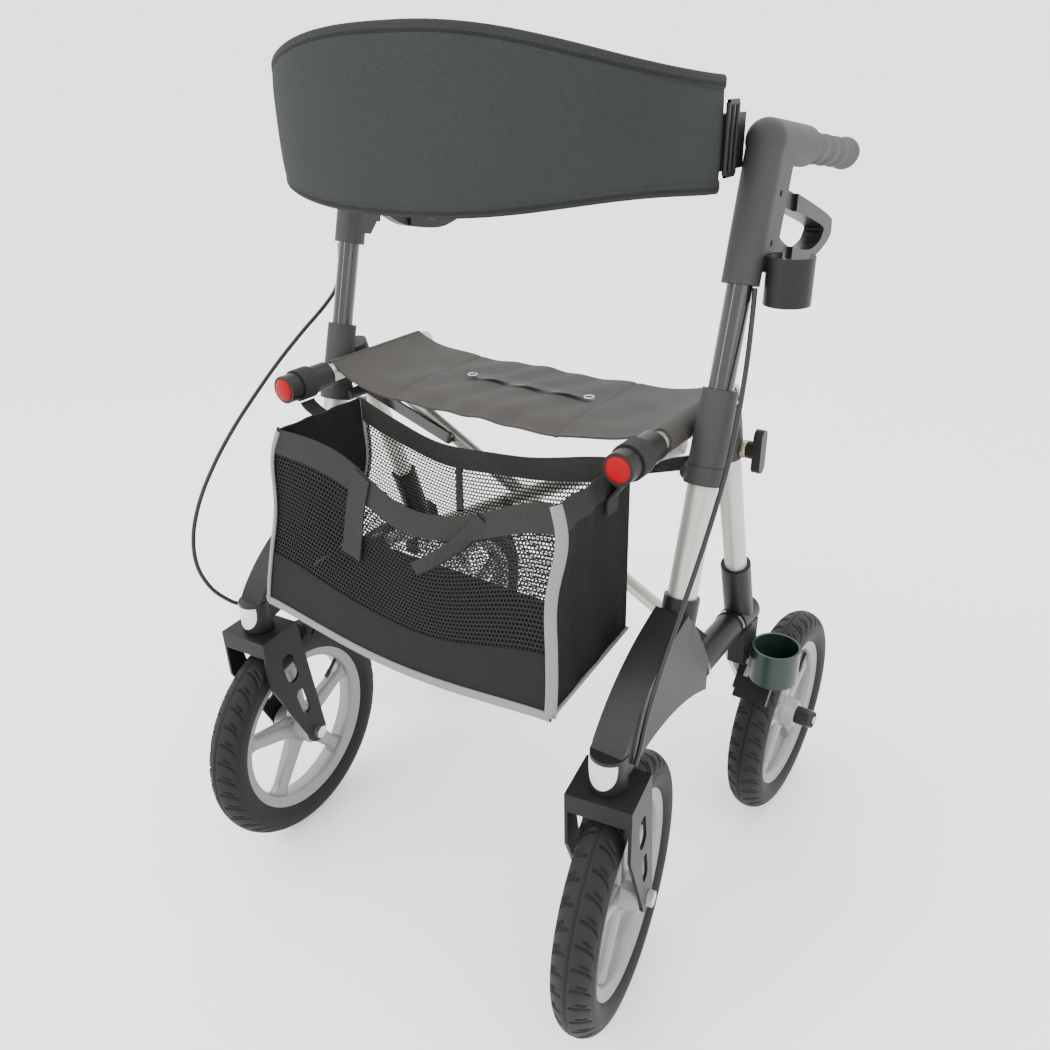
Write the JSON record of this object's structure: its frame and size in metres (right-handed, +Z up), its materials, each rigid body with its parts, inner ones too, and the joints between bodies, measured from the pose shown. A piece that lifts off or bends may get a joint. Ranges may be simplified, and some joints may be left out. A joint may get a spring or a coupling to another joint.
{
  "type": "all terrain rollator",
  "caption": "Folding all terrain walking frame with air tyres, swivelling front forks, sling seat, mesh basket, padded back band, adjustable handles, loop brakes and a cane holder.",
  "frame": {"origin": "on the ground, at the middle of the overall box", "axes": "-Y is the front with the casters and basket, +X is the right side seen from the front, +Z is up"},
  "size_m": [0.6584, 0.6954, 0.987],
  "materials": {
    "silver_tube": "anodised, satin",
    "silver_metal": "satin",
    "dark_plastic": "moulded",
    "black_plastic": "moulded",
    "green_plastic": "moulded",
    "black_metal": "gloss",
    "grey_rubber": "matt",
    "cable_sheath": "smooth",
    "steel": "zinc plated",
    "tyre": "matt",
    "silver_plastic": "silver moulded",
    "red_reflector": "clear red",
    "seat_cloth": "woven nylon",
    "basket_mesh": "mesh and woven nylon",
    "band_cloth": "woven, padded"
  },
  "bodies": {
    "left_frame": {"left_front_leg": "silver_tube", "left_rear_leg": "silver_tube", "left_collar": "dark_plastic", "left_front_arm": "black_plastic", "left_rear_joint": "black_plastic", "left_lower_tube": "black_metal", "left_axle_plate": "silver_metal", "left_brake_cable": "cable_sheath"},
    "right_frame": {"right_front_leg": "silver_tube", "right_rear_leg": "silver_tube", "right_collar": "dark_plastic", "right_front_arm": "black_plastic", "right_rear_joint": "black_plastic", "right_lower_tube": "black_metal", "right_axle_plate": "silver_metal", "right_brake_cable": "cable_sheath", "cane_cup": "green_plastic"},
    "brace_a": {"left_brace_bar": "silver_tube", "left_brace_sleeve": "black_plastic", "right_rail": "silver_tube", "right_rail_sleeve": "black_plastic", "right_rail_reflector": "red_reflector", "brace_bolt": "steel"},
    "brace_b": {"right_brace_bar": "silver_tube", "right_brace_sleeve": "black_plastic", "left_rail": "silver_tube", "left_rail_sleeve": "black_plastic", "left_rail_reflector": "red_reflector"},
    "seat_and_basket": {"seat": "seat_cloth", "basket": "basket_mesh"},
    "left_link": {"left_stay_link": "black_metal"},
    "right_link": {"right_stay_link": "black_metal"},
    "left_handle": {"left_handle_tube": "black_metal", "left_handle_housing": "dark_plastic", "left_grip": "grey_rubber", "left_backrest_clip": "black_plastic", "backrest": "band_cloth"},
    "right_handle": {"right_handle_tube": "black_metal", "right_handle_housing": "dark_plastic", "right_grip": "grey_rubber", "right_backrest_clip": "black_plastic", "cane_clip": "black_plastic"},
    "left_lever": {"left_brake_lever": "black_plastic"},
    "left_brake": {"left_brake_arm": "black_plastic"},
    "left_knob": {"left_collar_knob": "black_plastic"},
    "left_caster": {"left_caster_fork": "black_metal", "left_front_axle": "steel"},
    "left_front_wheel": {"left_front_tyre": "tyre", "left_front_rim": "silver_plastic"},
    "left_rear_wheel": {"left_rear_tyre": "tyre", "left_rear_rim": "silver_plastic"},
    "right_lever": {"right_brake_lever": "black_plastic"},
    "right_brake": {"right_brake_arm": "black_plastic"},
    "right_knob": {"right_collar_knob": "black_plastic"},
    "right_caster": {"right_caster_fork": "black_metal", "right_front_axle": "steel"},
    "right_front_wheel": {"right_front_tyre": "tyre", "right_front_rim": "silver_plastic"},
    "right_rear_wheel": {"right_rear_tyre": "tyre", "right_rear_rim": "silver_plastic"}
  },
  "joints": [
    {"name": "fold", "type": "hinge", "parent": "left_frame", "child": "brace_a", "pos_m": [-0.254, 0.005, 0.357], "axis": [0, -1, 0], "range_deg": [0, 28], "deforming": ["seat", "basket", "backrest"]},
    {"name": "brace_cross", "type": "hinge", "parent": "brace_a", "child": "brace_b", "pos_m": [0, -0.019, 0.49211], "axis": [0, -1, 0], "range_deg": [-56, 0]},
    {"name": "right_foot", "type": "hinge", "parent": "brace_b", "child": "right_frame", "pos_m": [0.254, 0.005, 0.357], "axis": [0, -1, 0], "range_deg": [0, 28]},
    {"name": "seat_hem", "type": "hinge", "parent": "brace_b", "child": "seat_and_basket", "pos_m": [-0.219, -0.0075, 0.631], "axis": [0, -1, 0], "range_deg": [0, 28]},
    {"name": "left_stay", "type": "hinge", "parent": "left_frame", "child": "left_link", "pos_m": [-0.234, -0.019, 0.59], "axis": [0, -1, 0], "range_deg": [0, 73]},
    {"name": "right_stay", "type": "hinge", "parent": "right_frame", "child": "right_link", "pos_m": [0.234, -0.019, 0.59], "axis": [0, -1, 0], "range_deg": [-73, 0]},
    {"name": "handle_height", "type": "slide", "parent": "left_frame", "child": "left_handle", "axis": [0, 0.279, 0.9603], "range_m": [-0.06, 0.09], "deforming": ["left_brake_cable", "right_brake_cable"]},
    {"name": "right_handle_height", "type": "slide", "parent": "right_frame", "child": "right_handle", "axis": [0, 0.279, 0.9603], "range_m": [-0.06, 0.09]},
    {"name": "left_lever_squeeze", "type": "hinge", "parent": "left_handle", "child": "left_lever", "pos_m": [-0.254, 0.04, 0.836], "axis": [1, 0, 0], "range_deg": [0, 14], "stiffness_Nm_per_rad": 1.5, "springref_deg": -5.73},
    {"name": "left_brake_press", "type": "hinge", "parent": "left_frame", "child": "left_brake", "pos_m": [-0.2485, 0.11672, 0.26728], "axis": [1, 0, 0], "range_deg": [0, 4.5]},
    {"name": "left_knob_turn", "type": "hinge", "parent": "left_frame", "child": "left_knob", "pos_m": [-0.28, -0.00006, 0.605], "axis": [1, 0, 0], "continuous": true},
    {"name": "left_caster_swivel", "type": "hinge", "parent": "left_frame", "child": "left_caster", "pos_m": [-0.254, -0.233, 0.345], "axis": [0, 0, 1], "continuous": true},
    {"name": "left_front_roll", "type": "hinge", "parent": "left_caster", "child": "left_front_wheel", "pos_m": [-0.25787, -0.1962, 0.152], "axis": [0.9945, 0.1045, 0], "continuous": true},
    {"name": "left_rear_roll", "type": "hinge", "parent": "left_frame", "child": "left_rear_wheel", "pos_m": [-0.28, 0.206, 0.142], "axis": [1, 0, 0], "continuous": true},
    {"name": "right_lever_squeeze", "type": "hinge", "parent": "right_handle", "child": "right_lever", "pos_m": [0.254, 0.04, 0.836], "axis": [1, 0, 0], "range_deg": [0, 14], "stiffness_Nm_per_rad": 1.5, "springref_deg": -5.73},
    {"name": "right_brake_press", "type": "hinge", "parent": "right_frame", "child": "right_brake", "pos_m": [0.2485, 0.11672, 0.26728], "axis": [1, 0, 0], "range_deg": [0, 4.5]},
    {"name": "right_knob_turn", "type": "hinge", "parent": "right_frame", "child": "right_knob", "pos_m": [0.28, -0.00006, 0.605], "axis": [1, 0, 0], "continuous": true},
    {"name": "right_caster_swivel", "type": "hinge", "parent": "right_frame", "child": "right_caster", "pos_m": [0.254, -0.233, 0.345], "axis": [0, 0, -1], "continuous": true},
    {"name": "right_front_roll", "type": "hinge", "parent": "right_caster", "child": "right_front_wheel", "pos_m": [0.24757, -0.19656, 0.152], "axis": [0.9848, 0.1736, 0], "continuous": true},
    {"name": "right_rear_roll", "type": "hinge", "parent": "right_frame", "child": "right_rear_wheel", "pos_m": [0.28, 0.206, 0.142], "axis": [1, 0, 0], "continuous": true}
  ],
  "couplings": [
    {"joint": "brace_cross", "follows": "fold", "ratio": -2},
    {"joint": "right_foot", "follows": "fold", "ratio": 1},
    {"joint": "seat_hem", "follows": "fold", "ratio": 1},
    {"joint": "left_stay", "follows": "fold", "ratio": 2.6},
    {"joint": "right_stay", "follows": "fold", "ratio": -2.6},
    {"joint": "right_handle_height", "follows": "handle_height", "ratio": 1},
    {"joint": "left_brake_press", "follows": "left_lever_squeeze", "ratio": 0.3},
    {"joint": "right_brake_press", "follows": "right_lever_squeeze", "ratio": 0.3}
  ]
}
